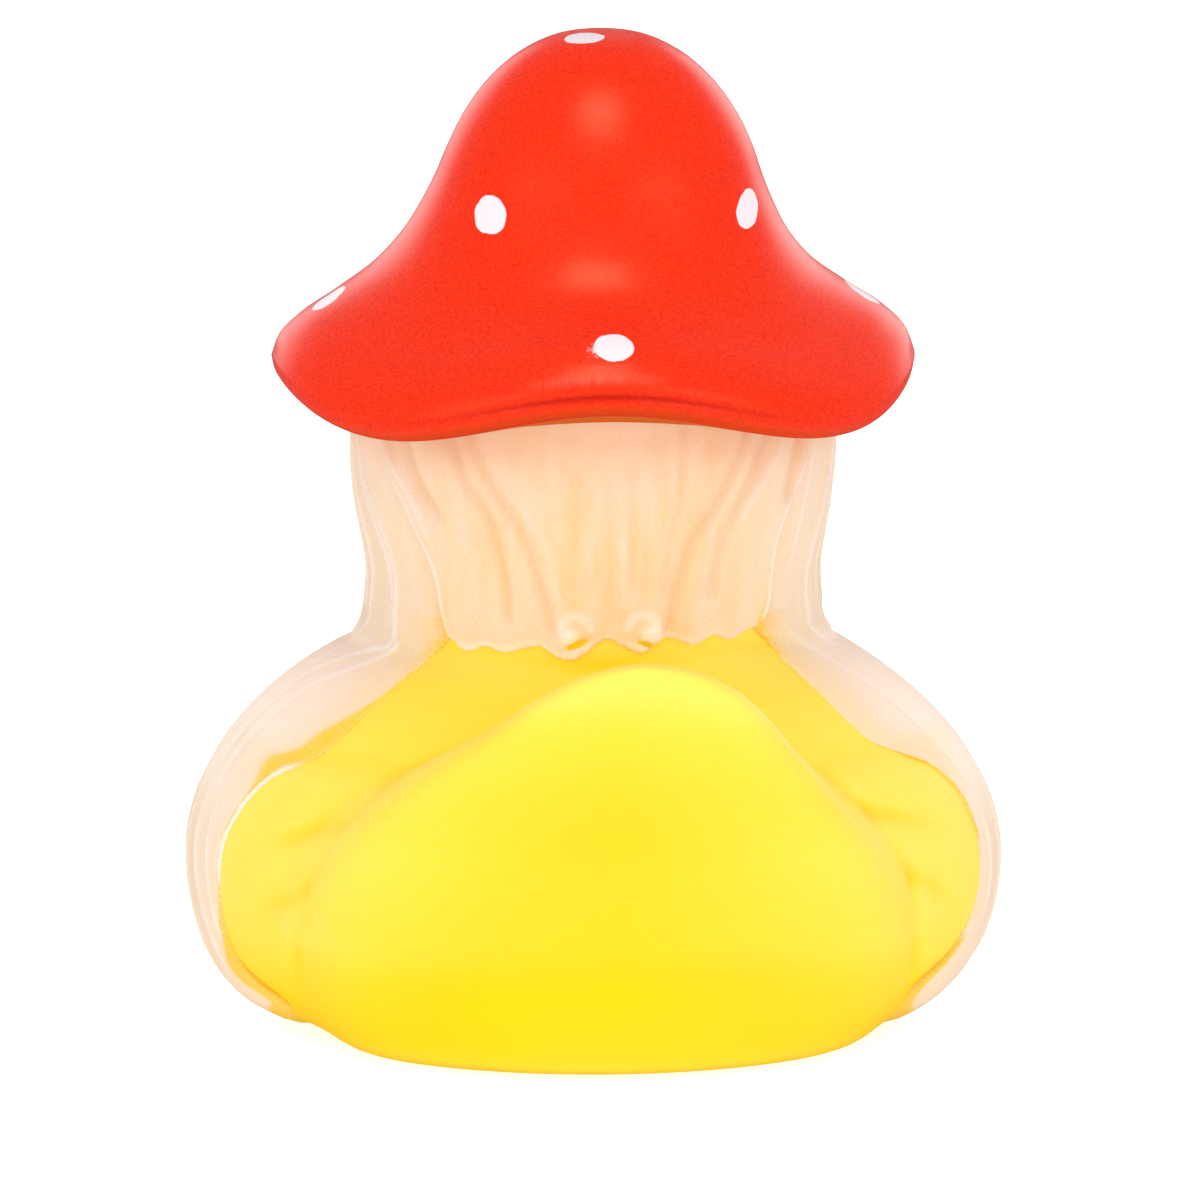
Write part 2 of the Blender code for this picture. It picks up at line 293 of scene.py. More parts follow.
def moulded_soft_vinyl(name, bright, deep):
    """Yellows in slow clouds and specks, a painted sheen up high and on crests, and painted shade in hollows.
    """
    noises, tint = [(16, 2), (0.3, 1)], (1, 0.93, 0.15, 1)
    made, tree, place, clouds, specks = coat(name, 0.5, 1.53, 0.22, noises, tint)
    share = add(tree, "MapRange", {0: clouds, 1: 0.35, 2: 0.65})
    speck = add(tree, "MapRange", {0: specks, 1: 0.45, 2: 0.75, 4: 0.2})
    # Over the clouds: a painted sheen, painted shade in hollows and low down, then specks.
    layers = [(share, deep), ("painted_sheen", "#ffe864"), ("hollow", "#f8cc08"), (speck, "#f4c800")]
    return covered(made, bright, layers, peel(tree, place, 0.012), 0.1, (1, 0.85, 0.1))


yellow_vinyl = moulded_soft_vinyl("moulded_soft_vinyl_yellow", "#ffd800", "#fed300")
print(yellow_vinyl.name, "with peel of", PEEL, "mm")

# %% [markdown]
# ## The form under the robe
#
# The body is a low egg, as wide as it is long, widest 14 mm up and drawn in to the neck at 35.6 mm. One
# formula gives its outline at any height. Angles are measured from the rear, and they are positive towards
# the duck's right side.

# %% The egg and the neck
BELLY_Z, SHOULDER_Z = 14, 35.6
HALF_WIDTH, HALF_LENGTH = 39.15, 40.25
NECK_LINE = [(30, 22.9), (35.6, 22.8), (37, 22.25), (39.7, 21.85), (42.6, 21.75), (45.5, 22.15),
             (48.5, 22.7), (52, 23.1), (56, 23.2), (62, 23.2)]
YELLOW_DEPTH = 0.9
BASE_Z = 0.35


def on_ring(angle, half_width, half_length, z):
    """Points of an oval ring in the direction of angle, in degrees: (-w sin a, l cos a, z)."""
    turn = np.radians(angle)
    return np.stack(np.broadcast_arrays(-half_width * np.sin(turn), half_length * np.cos(turn), z), axis=-1)


def egg_halves(z, angle):
    """Half width and half length of the robed body: the rim's plus the rest times (1 - s^2)^p, where s is the
    share of the way from the belly to the shoulder or the base, and p varies round the body."""
    upper = z > BELLY_Z
    shoulder = SHOULDER_Z - 1.1 * ease((np.abs(angle) - 75) / 45)
    share = np.clip(np.abs(z - BELLY_Z) / np.where(upper, shoulder - BELLY_Z, BELLY_Z), 0, 1)
    quarter = hill(np.abs(angle) - 52, 24)
    upper_power = 0.86 + 0.08 * ease((angle + 20) / 80)
    lower_power = 0.5 + 0.11 * quarter - 0.09 * ease((-angle - 50) / 30)
    swell = (1 - share**2) ** np.where(upper, upper_power, lower_power)
    foot_width, foot_length = np.where(upper, 22.8, 30), np.where(upper, 22.8, 33.3)
    return foot_width + (HALF_WIDTH - foot_width) * swell, foot_length + (HALF_LENGTH - foot_length) * swell


def robed_halves(z, angle):
    """The egg and the round, waisted neck above it, joined by a fillet f, wide at the rear quarters and tight
    at the sides: max(a, b) + (f - |a - b|)^2 / 4f. Above its rim the egg narrows by 2 to 1."""
    fillet = 0.7 + 3.8 * hill(np.abs(angle) - 34, 30)
    neck = through(z, NECK_LINE)
    halves = []
    for egg in egg_halves(z, angle):
        egg = egg - 2 * np.maximum(z - SHOULDER_Z, 0)
        halves.append(-soft_min(-egg, -neck, fillet))
    return halves[0], halves[1]


for height in (2, 14, 30, 42):
    print("at", height, "mm:", [round(float(h), 1) for h in robed_halves(height, 90)])

# %% [markdown]
# ## Where the robe hangs open
#
# Behind, the robe stops at a hem across the back and at two edges that run down over the wings, 43 degrees
# from the middle at the hem and 69 round the widest feathers. The robe and the feathers under it both read
# these lines.

# %% The opening
HEM_Z = 38.2
HEM_ANGLE = 43.2
RIGHT_EDGE = [(0, 62), (3, 54.2), (5.6, 55.6), (7.6, 61.6), (9.7, 64.8), (13, 67.4), (18.8, 69),
              (23.8, 66.8), (25.8, 63.3), (27.1, 58.8), (27.9, 55.6), (30.2, 52.5), (33.5, 51.4),
              (36.6, 48), (HEM_Z, HEM_ANGLE)]
LEFT_EDGE = [(0, 68), (1.2, 64), (4, 61), (5, 64.2), (6.2, 67.4), (9.5, 69.3), (12.8, 69), (19.5, 69),
             (26.3, 60), (27.3, 56.8), (29.7, 53.7), (36, 48.4), (HEM_Z, HEM_ANGLE)]
HEM_LINE = [(-46, 38.3), (-42.5, 38.1), (-39, 37.3), (-36, 37.4), (-32.4, 37.9), (-26.8, 37.5), (-21.6, 38),
            (-17, 38.3), (-13.5, 37.5), (-9.5, 37.1), (-5, 37.8), (-2, 38.8), (0.8, 39.1), (4.5, 38.4),
            (8, 37.8), (11, 37.9), (13.5, 38.6), (16, 39), (19, 38.8), (24.5, 38.1), (27, 38.5), (30, 38.8),
            (33.5, 38.3), (36, 38.2), (39.5, 38.7), (43.3, 38.9), (46, 38.6)]


def opening_angle(z, angle):
    """How far round from the rear the robe's edge is at height z, on the side that angle is on."""
    return np.where(angle > 0, through(z, RIGHT_EDGE), through(z, LEFT_EDGE))


print("open", opening_angle(16, np.array([-1, 1])), "degrees each way at 16 mm")

# %% [markdown]
# ## Yellow back, wings and tail
#
# This part of the casting stays unpainted. The tail is a broad paddle with a blunt point that leans to the
# duck's right, and each wing shows three feather lobes. Separate meshes would meet in hard creases, so this
# is one skin: rays go out from a point in the rump, and each stops where a soft union of body and tail ends.

# %% The tail's lines
TAIL_TIP_Z, TAIL_TIP_Y = 40.15, 38.2
TAIL_EDGE = 2.4
TAIL_THICKNESS = 26
TAIL_LINE = [(0, 0), (1.1, 5.9), (1.84, 9.7), (2.6, 13.7), (3, 16.4), (3.49, 20.1), (3.89, 22.9),
             (4.29, 25.7), (4.79, 28), (5.12, 28.9), (6.34, 29.4)]
TAIL_MIDDLE = [(0, 0.4), (12, 0.5), (17.3, 0.6), (21.8, 0.7), (25.1, 0.6), (28, 0.2), (31.2, -0.8),
               (33.4, -1.8), (36.8, -2.6), (38.8, -2.85), (40.2, -2.9)]


def tail_field(x, y, z):
    """Less than 0 inside the tail, in mm: how far a point is outside |x/a|^n + |y/b|^n = 1. The half width a
    grows with the root of the depth below the tip, and the front face falls away from the tip. n is 2.8 near
    the tip, which leaves a blunt edge, and 2 at the base."""
    depth = np.maximum(TAIL_TIP_Z - z, 0)
    width = np.maximum(through(np.sqrt(depth), TAIL_LINE), 0.3)
    share = np.clip(depth / (TAIL_TIP_Z - BELLY_Z), 0, 1)
    rump = egg_halves(np.minimum(z, BELLY_Z), np.zeros_like(z))
    width = width * (0.72 + 0.28 * ease(z / BELLY_Z))
    rear = TAIL_TIP_Y + (rump[1] - TAIL_TIP_Y) * share**0.6
    front = TAIL_TIP_Y - TAIL_EDGE - (TAIL_THICKNESS - TAIL_EDGE) * share
    half = np.maximum((rear - front) / 2, TAIL_EDGE / 2)
    across, along = x - through(z, TAIL_MIDDLE), y - (rear - half)
    blunt = 2 + 0.8 * ease((z - 8) / 14)
    share_out = (np.abs(across / width) ** blunt + np.abs(along / half) ** blunt) ** (1 / blunt)
    share_out = np.maximum(share_out, 1e-6)
    sideways = np.hypot(across, along) * (1 - 1 / share_out)
    return np.maximum(sideways * 0.8, z - TAIL_TIP_Z)


# %% [markdown]
# The feathers are only relief: each wing is a raised field that ends in three round tips beside the tail,
# and two grooves climb a little from the robe's edge inwards, as between folded feathers.

# %% Feathers and the yellow form
WING_TOP = [(-62, 26.6), (-58, 27.2), (-50, 27.4), (-43, 27.6), (-38, 27.4), (-30, 26), (30, 26),
            (38, 27.2), (42.7, 27.7), (46.6, 27.7), (52, 27.4), (59, 27.1), (62, 26.6)]
WING_TIPS = {
    -1: [(0, 58), (6, 53.5), (9.8, 50.3), (11.9, 48.3), (14.1, 46.2), (15.8, 45.6), (16.9, 46.2),
         (18.5, 43.6), (20.1, 41.9), (21.6, 41.2), (23.1, 41.6), (24.9, 38.9), (26.3, 37.4), (28, 37)],
    1: [(0, 58), (6, 53.5), (9, 50.6), (11.5, 48.7), (14.3, 47.4), (15.9, 47.4), (17.2, 48.2), (19, 45.8),
        (21, 44.3), (22.3, 43.2), (23.7, 43.2), (25.3, 40.2), (26.6, 39.6), (28, 40)],
}
GROOVES = {
    -1: [[(40, 23.1), (44.8, 22.5), (48.3, 22), (51.9, 21.2), (57.5, 20.3), (62, 19.8)],
         [(43, 17.4), (47.3, 16.2), (51.1, 15.1), (56.2, 14.1), (62, 13.2)]],
    1: [[(40, 23.7), (42.4, 23.3), (47.6, 22.7), (52.5, 21.9), (57, 21), (63.4, 19.9)],
        [(43, 17.6), (47.6, 16.9), (51.8, 16), (56.8, 14.4), (62, 12.9)]],
}
WING_RELIEF = 0.75
GROOVE_DEPTH = 0.45


def feathers(z, angle):
    """Relief of the wings in mm: the raised field, less a narrow trough along each groove. With it comes how
    far a point lies in a groove, from 0 to 1."""
    round_from_rear = np.abs(angle)
    relief, furrow = np.zeros_like(z), np.zeros_like(z)
    for side in (-1, 1):
        beyond_tip = (round_from_rear - through(z, WING_TIPS[side])) * 0.64
        below_top = through(angle, WING_TOP) - z
        field = WING_RELIEF * ease((beyond_tip + 0.2) / 2.4) * ease((below_top + 0.5) / 2.2)
        field *= ease((z - 2) / 12)
        deepness = ease((66 - round_from_rear) / 20) * ease((beyond_tip + 2) / 2)
        for groove in GROOVES[side]:
            middle = through(round_from_rear, groove)
            trough = deepness * hill(z - middle, 0.95)
            field -= GROOVE_DEPTH * trough
            furrow += trough * (np.sign(angle) == side)
        outside = (round_from_rear - opening_angle(z, angle)) * 0.66
        relief += np.where(np.sign(angle) == side, field * (1 - ease((outside - 0.6) / 1.2)), 0)
    return relief, furrow


def yellow_field(points):
    """Less than 0 inside the yellow form, in mm: a soft union of body and tail, cut off at the base."""
    x, y, z = points
    angle = np.degrees(np.arctan2(-x / HALF_WIDTH, y / HALF_LENGTH))
    width, length = robed_halves(np.maximum(z, 0), angle)
    higher = robed_halves(np.maximum(z, 0) + 0.2, angle)[0]
    relief = feathers(z, angle)[0] - YELLOW_DEPTH
    share_out = np.maximum(np.hypot(x / (width + relief), y / (length + relief)), 1e-6)
    steepness = np.sqrt(1 + ((higher - width) / 0.2) ** 2)
    body = np.hypot(x, y) * (1 - 1 / share_out) / np.minimum(steepness, 3)
    body = -soft_min(-body, 47 - z, 4)
    form = soft_min(body, tail_field(x, y, z), 2.7 + ease((30 - z) / 10) + 4.5 * ease((11 - z) / 9))
    return -soft_min(-form, z, 1.8)


def last_crossing(field, start, directions, reach):
    """How far each ray from start goes before it leaves the form for good. Even steps find the last one that
    ends outside, and halving that step again and again finds the place."""
    steps = np.linspace(0, reach, 61)
    inside = np.zeros(directions.shape[1:])
    for step in steps:
        deep = field(start + step * directions) < 0
        inside = np.where(deep, step, inside)
    outside = inside + steps[1]
    for _ in range(18):
        middle = (inside + outside) / 2
        deep = field(start + middle * directions) < 0
        inside, outside = np.where(deep, middle, inside), np.where(deep, outside, middle)
    return (inside + outside) / 2


# %% [markdown]
# The rays start low in the rump, to meet the tail's front face well. Columns crowd round the tail, and rows
# at the base's edge and the tail's crest. Under the base the grid goes on as a flat to the vent, which lets
# the air out.

# %% The yellow skin
RAYS_FROM = np.array([0, 16, 8])
COLUMNS, ROWS, BASE_ROWS = 520, 150, 24
VENT_RADIUS = 2


def rays(azimuth, climb):
    """Unit directions for azimuth and climb in degrees."""
    turn, up = np.radians(azimuth), np.radians(climb)
    flat = -np.sin(turn) * np.cos(up), np.cos(turn) * np.cos(up)
    return np.stack(np.broadcast_arrays(*flat, np.sin(up)))


azimuths = crowd(COLUMNS + 1, -180, 180, 0, 1.6, 50)[:-1]
base_start = (RAYS_FROM - [0, 0, RAYS_FROM[2] - 0.9]).reshape(3, 1)
base_edge = last_crossing(yellow_field, base_start, rays(azimuths, 0), 90) - 2.2
lowest = np.degrees(np.arctan2(-RAYS_FROM[2], base_edge))
gain = 0.6 + 2.6 * hill(azimuths, 75)
climbs = crowd(ROWS, lowest, 89.5 + 0 * lowest, 66, gain, 15)
directions = rays(azimuths, climbs)
reach = last_crossing(yellow_field, RAYS_FROM.reshape(3, 1, 1), directions, 90)
sides = np.moveaxis(RAYS_FROM.reshape(3, 1, 1) + reach * directions, 0, -1)

vent_line = [(0.4, 3.2), (0.93, 3.1), (1, 2.9), (1, 0.6), (1.08, 0.2), (1.25, 0)]
vent = np.stack([on_ring(azimuths, share * VENT_RADIUS, share * VENT_RADIUS, z) for share, z in vent_line])
shares = np.linspace(0, 1, BASE_ROWS)[1:-1, None, None]
flat = vent[-1] + shares * (sides[0] - vent[-1])
flat[..., 2] = 0
yellow_grid = np.concatenate([vent, flat, sides])


def bend(grid, reach):
    """How far in mm the mean of the points reach steps away each way lies outside each point, along the
    outward normal: more than 0 in a hollow and less on a crest."""
    up = np.gradient(grid, axis=0)
    beside = np.roll(grid, -1, axis=1) - np.roll(grid, 1, axis=1)
    normal = np.cross(beside, up)
    normal /= np.maximum(np.linalg.norm(normal, axis=-1, keepdims=True), 1e-9)
    padded = np.pad(grid, ((reach, reach), (0, 0), (0, 0)), mode="edge")
    round_about = np.roll(grid, reach, axis=1) + np.roll(grid, -reach, axis=1)
    mean = (padded[:-2 * reach] + padded[2 * reach:] + round_about) / 4
    return ((mean - grid) * normal).sum(axis=-1)


bent = bend(yellow_grid, 5)
x, y, height = np.moveaxis(yellow_grid, -1, 0)
bearing = np.degrees(np.arctan2(-x / HALF_WIDTH, y / HALF_LENGTH))
furrow = feathers(height, bearing)[1]
# Painted highlight: paler with height, towards the sides, on the tail's top and on crests.
painted_sheen = 0.4 * ease((height - 2) / 22) + 0.6 * np.abs(x) / HALF_WIDTH * ease(height / 14)
painted_sheen += 0.5 * ease((height - 33) / 6) - 0.12 * ease(x / 15)
on_tail = hill(x, 24) * ease((y - 24) / 8) * ease((height - 3) / 8)
# Painted shade: deeper in hollows and feather grooves, low down and on the lower tail.
hollow = np.clip(bent / 1.5 + 0.25 * furrow, 0, 0.36) * ease(height / 3)
hollow += 0.7 * ease((9 - height) / 9) + 0.45 * on_tail * (1 - ease((height - 26) / 10))
yellow_values = {"painted_sheen": np.clip(painted_sheen - 0.8 * bent, 0, 1), "hollow": hollow}
print("bend from", bent.min().round(2), "to", bent.max().round(2), "mm")
skin("yellow_body", yellow_grid, yellow_vinyl, yellow_values)

# %% [markdown]
# ## Sprayed peach paint
#
# The robe is vinyl under a sprayed coat the colour of a mushroom's stem. The crests of its folds are painted
# paler as a highlight, and their valleys deeper as shade. The spray thins out at a mask's edge, where the
# yellow shows as ochre. Along the opening it breaks up into specks, and the raised lip stays cream. Under the
# brim the red paint's mist leaves pink patches, and the top of the neck is painted deeper as shade. Over the
# shoulders the cape is paler, partly its own tone and partly painted light against the cap's shade.

# %% Peach paint
def sprayed_peach_paint(name):
    """Stored values choose the tone: paler over the shoulder, partly as painted light, a painted highlight on
    crests, painted shade in valleys, pink mist and painted shade under the brim, cream on the lip, and ochre
    where the paint is thin enough for its grains to show the vinyl."""
    made, tree, place, grain, fine = coat(name, 0.46, 1.5, 0.4, [(0.2, 2), (0.15, 1)])
    stretched = add(tree, "Mapping", {"Vector": place, "Scale": (1, 1, 0.2)})
    streaks = add(tree, "TexNoise", {"Vector": stretched, "Scale": per_metre(2.2), "Detail": 3})
    layers = [(add(tree, "MapRange", {0: streaks, 1: 0.36, 2: 0.6}), "#fbdfbf")]
    for label, low, high, most, code in (
        # Paler over the shoulders: partly the cape's own tone, partly painted light where the cap shades them.
        ("pale_cape_and_painted_light", 0, 1, 1, "#fee8d2"),
        ("thin_paint", 0.04, 0.55, 0.85, "#fbd894"),
        # Painted highlight on the crests of folds and pleats.
        ("crest", 0.06, 0.9, 0.95, "#fff3ea"),
        # Painted shade in the valleys of folds and pleats.
        ("valley", 0.1, 1, 0.5, "#f2c493"),
        # Red overspray patches, and painted shade high on the neck under the brim.
        ("red_mist_and_brim_shade", 0, 1, 0.7, "#f0b890"),
        # Cream on the lip, and on the knobs as a painted highlight.
        ("lip", 0, 1, 1, "#fff4e4"),
    ):
        layers.append((add(tree, "MapRange", {0: label, 1: low, 2: high, 4: most}), code))
    layers.append((ragged(tree, fine, 2, "thin_paint", 1.4, 2), "#fccf1a"))
    layers.append((ragged(tree, fine, 0.5, "bare", 0.65, 0.85), "#fad40c"))
    layers.append((add(tree, "MapRange", {0: grain, 1: 0.45, 2: 0.75, 4: 0.28}), "#eab078"))
    return covered(made, "#fad8aa", layers, peel(tree, place, 0.014), 0.06, (1, 0.6, 0.35))


peach_paint = sprayed_peach_paint("sprayed_peach_paint_on_vinyl")
print(peach_paint.name, "has", len(peach_paint.node_tree.nodes), "nodes")

# %% [markdown]
# ## The robe
#
# Neck and cape are one skin of full rings. A column runs exactly down each edge of the opening and a row
# along the hem, so the edges are clean. Inside the opening the skin dives under the yellow, and outside it
# stands proud with a rounded lip. Folds are ridges along their own lines: they start under the brim, sweep in
# towards the back and fan out over the shoulders. Pleats fill the rest.

# %% The robe's folds
FOLDS = [
    # (height, half width, lean, [(z, angle), ...]) from the top down: first those that catch the light
    (0.3, 0.28, 0, [(61, -97), (48, -89), (42, -86), (38, -87)]),
    (0.34, 0.28, 0, [(61, -91), (54, -86), (44, -78), (38, -80)]),
    (0.36, 0.26, 0, [(61, -86), (56, -80.5), (53, -77.8), (44.7, -66.4), (40.5, -65.1), (37, -63.4)]),
    (0.46, 0.28, 0.15, [(61, -82.5), (55.1, -77.3), (52.5, -74), (50.9, -70.5), (45.5, -63.1), (37.7, -61.6),
                        (36.2, -60)]),
    (0.4, 0.28, 0.3, [(61, -72), (56, -64), (51.1, -54.6), (44.3, -46.1), (42.3, -45.3), (38.3, -43)]),
    (0.24, 0.45, 0, [(61, -67), (55.3, -59.4), (54.2, -56.4), (49.8, -48.2), (47.5, -46)]),
    (-0.5, 0.75, 0, [(61, -58), (52.7, -48), (51.8, -45.9), (50, -43.5)]),
    # the valleys across the back of the neck, and what stands between them
    (-0.42, 0.65, 0, [(61, -42), (57, -38.3), (53.7, -34.3), (53, -32.5), (46.6, -26.6), (40, -25.5)]),
    (-0.4, 0.6, -0.09, [(61, -36), (57, -32), (48.4, -19.4), (46, -17.9), (39, -13.2)]),
    (0.16, 0.8, 0, [(53, -21), (47.9, -14.2), (42, -12.4)]),
    (-0.2, 0.5, 0, [(56, -7), (50, -7.6), (43.2, -8.3)]),
    (-0.24, 0.7, 0, [(56, 0.4), (47.6, 0.8), (40, 2)]),
    (0.18, 0.6, 0, [(49, 4), (44, 4.4), (41.5, 4)]),
    (-0.24, 0.6, 0, [(57, 6.3), (48.4, 6.6), (43.3, 7.4)]),
    (-0.16, 0.4, 0, [(53.3, 9.2), (45.3, 9.9), (42.1, 9.7)]),
    (-0.26, 0.65, 0, [(61, 19.4), (56, 18.9), (46.2, 15.3), (43, 14.8)]),
    (-0.42, 0.55, 0.15, [(61, 38), (57, 34.4), (51.4, 25.9), (49.4, 22.2), (46.4, 19.9), (39, 16)]),
    (-0.36, 0.6, 0.1, [(61, 46), (54.6, 38.1), (53.4, 35.9), (45.3, 28.8), (42, 28.6)]),
    (0.24, 0.6, 0, [(61, 53), (55.8, 45.2), (51.4, 36), (49.5, 33)]),
    # the right side
    (-0.5, 0.75, 0, [(61, 58), (57, 55), (51, 49.5)]),
    (0.4, 0.28, -0.3, [(61, 67), (53.5, 55.4), (49.6, 48.9), (40.8, 46.2), (38.5, 43.6)]),
    (0.26, 0.32, 0, [(61, 70.5), (52.4, 59.5), (44, 54.5)]),
    (0.42, 0.28, -0.15, [(61, 80), (55, 75.4), (41, 65), (37.8, 66.2)]),
    (0.22, 0.28, 0, [(61, 88), (55, 84), (50, 79), (41, 76), (38, 79)]),
    (0.2, 0.28, 0, [(61, 96), (54, 92), (42, 85), (38, 88)]),
    # the lines that run on over the shoulders and down the sides of the cape
    (0.34, 0.34, 0, [(37.6, -62.6), (36.4, -65), (35.7, -71), (33.9, -79.8), (30.5, -83.6), (25.8, -83.6),
                     (19.9, -82.6), (4, -72)]),
    (0.28, 0.34, 0, [(36.8, -60), (35.7, -63.2), (34.6, -67.7), (32, -75.6), (29.8, -77.7), (26.9, -78.1),
                     (8, -71)]),
    (0.24, 0.34, 0, [(38, -80), (35, -88), (32, -90.5), (27, -91), (20, -90), (5, -82)]),
    (0.24, 0.34, 0, [(38.4, 65.4), (37.3, 68.3), (34.9, 76.8), (33.4, 79.5), (27, 84.4), (16, 82), (10, 79),
                     (5, 75)]),
    (0.22, 0.5, 0, [(37.8, 56.5), (36.6, 60.5), (25.8, 72.7), (13.3, 73.3), (9, 71)]),
    (0.18, 0.34, 0, [(38, 79), (35, 87.5), (32, 90.5), (27, 91), (20, 90), (5, 82)]),
]
PLEATS = 34
PLEAT_DEPTH = 0.34


def fold_relief(z, angle, radius):
    """Relief in mm of all folds: a hill across each line, and beside it the lean, a swell on the side of
    greater angles and a hollow on the other. Distances are square to the line, and the ends fade out."""
    relief = np.zeros(np.broadcast(z, angle).shape)
    crest, valley = np.zeros_like(relief), np.zeros_like(relief)
    for height, half_width, lean, line in FOLDS:
        lowest, highest = min(line)[0], max(line)[0]
        inside = ease((z - lowest + 0.3) / 1.8) * ease(highest + 1 - z)
        middle = through(z, line)
        slant = np.radians(through(z + 0.1, line) - through(z - 0.1, line)) / 0.2 * radius
        across = np.radians(angle - middle) * radius / np.sqrt(1 + slant**2)
        ridge = hill(across, half_width) * inside
        relief += height * ridge + lean * (hill(across - 1, 0.9) - hill(across + 0.9, 0.8)) * inside
        # Painted light: crest lightens the tops of folds as a highlight, valley deepens their troughs as shade.
        crest += np.maximum(height, 0) / 0.3 * ridge**1.5 * min(1, 0.3 / half_width)
        valley += np.maximum(-height, 0) / 0.5 * ridge
        valley += 0.5 * abs(lean) / 0.3 * hill(across + np.sign(lean) * 0.8, 0.6) * inside
    return relief, crest, valley


def pleats(z, angle):
    """Soft pleats over breast and sides, from -1 to 1: the cosine of a wandering count of turns."""
    wander = 7 * np.sin(np.radians(3 * angle + 40)) + 4 * np.sin(np.radians(7 * angle - 65))
    turns = np.radians(PLEATS * (angle + 0.12 * wander + 0.1 * (z - 30)))
    return np.cos(turns) * ease((np.abs(angle) - 86) / 20) * ease(z / 6)


# %% [markdown]
# Just above the hem two gathers stand out like small knobs, and beneath each the mask left a crescent of bare
# yellow. They are few, so their places are written down one by one.

# %% Gathers and bare spots
# (angle, z, half width, half height), and after them a slope for bare spots and a strength for soft patches
GATHERS = [(-9.4, 39.6, 1.15, 1.05), (11.9, 39.7, 1.15, 1.1)]
LOOPS = [(-7.8, 39.9, 1.75, 1.75), (9.6, 40, 1.75, 1.7)]
BARE_SPOTS = [(-7.3, 38.9, 1.3, 0.38, 0.33), (10.4, 38.8, 1.15, 0.3, -0.3)]
THIN_PAINT = [(-45, 41, 1.6, 2.2, 0.3), (46.5, 40, 1.6, 2.2, 0.3), (-21, 50, 0.5, 3, 0.32),
              (-8, 51, 0.5, 3, 0.3), (1, 47, 0.5, 4, 0.32), (7, 50, 0.6, 3, 0.32),
              (14, 52, 0.5, 2, 0.3), (28.5, 49, 0.4, 2.2, 0.36), (-26.5, 48, 0.4, 4, 0.34)]
RED_MIST = [(-43, 57.6, 1.6, 1.3, 0.4), (-37, 57.3, 1.1, 1.8, 0.5), (-23, 57.7, 2.6, 1, 0.3),
            (-9.5, 59, 2.2, 1, 0.35), (1, 58.8, 1.6, 1.2, 0.3), (11, 58.6, 1.8, 1.1, 0.4),
            (19.4, 59, 1.6, 1.1, 0.35), (27, 57.6, 1.6, 1.2, 0.4), (39, 56, 1.1, 1.8, 0.5),
            (-60, 56, 1.8, 1.8, 0.35), (56, 55.6, 1.6, 2, 0.3)]


def patch(z, angle, centre_angle, centre_z, half_width, half_height, slope=0):
    """How far out a point is from an oval on the skin: 0 at its centre and 1 on its rim. Sizes are in mm."""
    across = (angle - centre_angle) * np.pi / 180 * 24
    return np.hypot(across / half_width, (z - centre_z - slope * across) / half_height)


def patches(z, angle, table):
    """The sum of soft patches from (angle, z, half width, half height, strength) rows."""
    return sum(strength * hill(patch(z, angle, *place), 1) for *place, strength in table)


# %% The robe's skin
ROBE_COLUMNS, ROBE_ROWS = 680, 146
SUNK = 3.4
LIP_RADIUS = 0.85
OCHRE_WIDTH = {
    -1: [(0, 1), (4, 1.1), (8, 0.8), (10.5, 0.42), (20, 0.4), (24.5, 0.5), (26.5, 1), (28.8, 1.5),
         (30.5, 1.1), (32.5, 0.4), (35, 0.12), (38, 0.1), (70, 0.1)],
    1: [(0, 0.8), (4, 0.7), (6.5, 0.35), (9, 0.15), (12, 0.12), (17, 0.15), (19, 0.35), (23, 0.35),
        (26, 0.12), (30, 0.1), (36, 0.1), (38, 0.2), (70, 0.1)],
}

turns = np.linspace(-180, 180, ROBE_COLUMNS + 1)[:-1]
turns[np.abs(turns + HEM_ANGLE).argmin()] = -HEM_ANGLE
turns[np.abs(turns - HEM_ANGLE).argmin()] = HEM_ANGLE
levels = crowd(ROBE_ROWS, BASE_Z, 61.5, 37, 0.9, 7)
levels[np.abs(levels - HEM_Z).argmin()] = HEM_Z
level, turn = np.meshgrid(levels, turns, indexing="ij")

edge = opening_angle(np.minimum(level, HEM_Z), turn)
beyond = np.abs(turn) - HEM_ANGLE
angle = np.where(
    beyond < 0,
    turn * edge / HEM_ANGLE,
    np.sign(turn) * (edge + beyond * (180 - edge) / (180 - HEM_ANGLE)),
)
hem_lift = (through(turn, HEM_LINE) - HEM_Z) * (1 - ease((np.abs(turn) - 43) / 4))
z = level + hem_lift * (1 - ease(np.abs(level - HEM_Z) / 5))

width, length = robed_halves(z, angle)
radius = np.hypot(width * np.sin(np.radians(angle)), length * np.cos(np.radians(angle)))
slant = np.radians(np.gradient(edge, levels, axis=0)) * radius
to_side = np.radians(np.abs(angle) - edge) * radius / np.sqrt(1 + slant**2)
to_hem = level - HEM_Z
edge_gap = np.maximum(to_side, to_hem)

folds, crest, valley = fold_relief(z, angle, radius)
pleat = pleats(z, angle)
relief = folds * ease((edge_gap + 0.3) / 1.2) + PLEAT_DEPTH * pleat
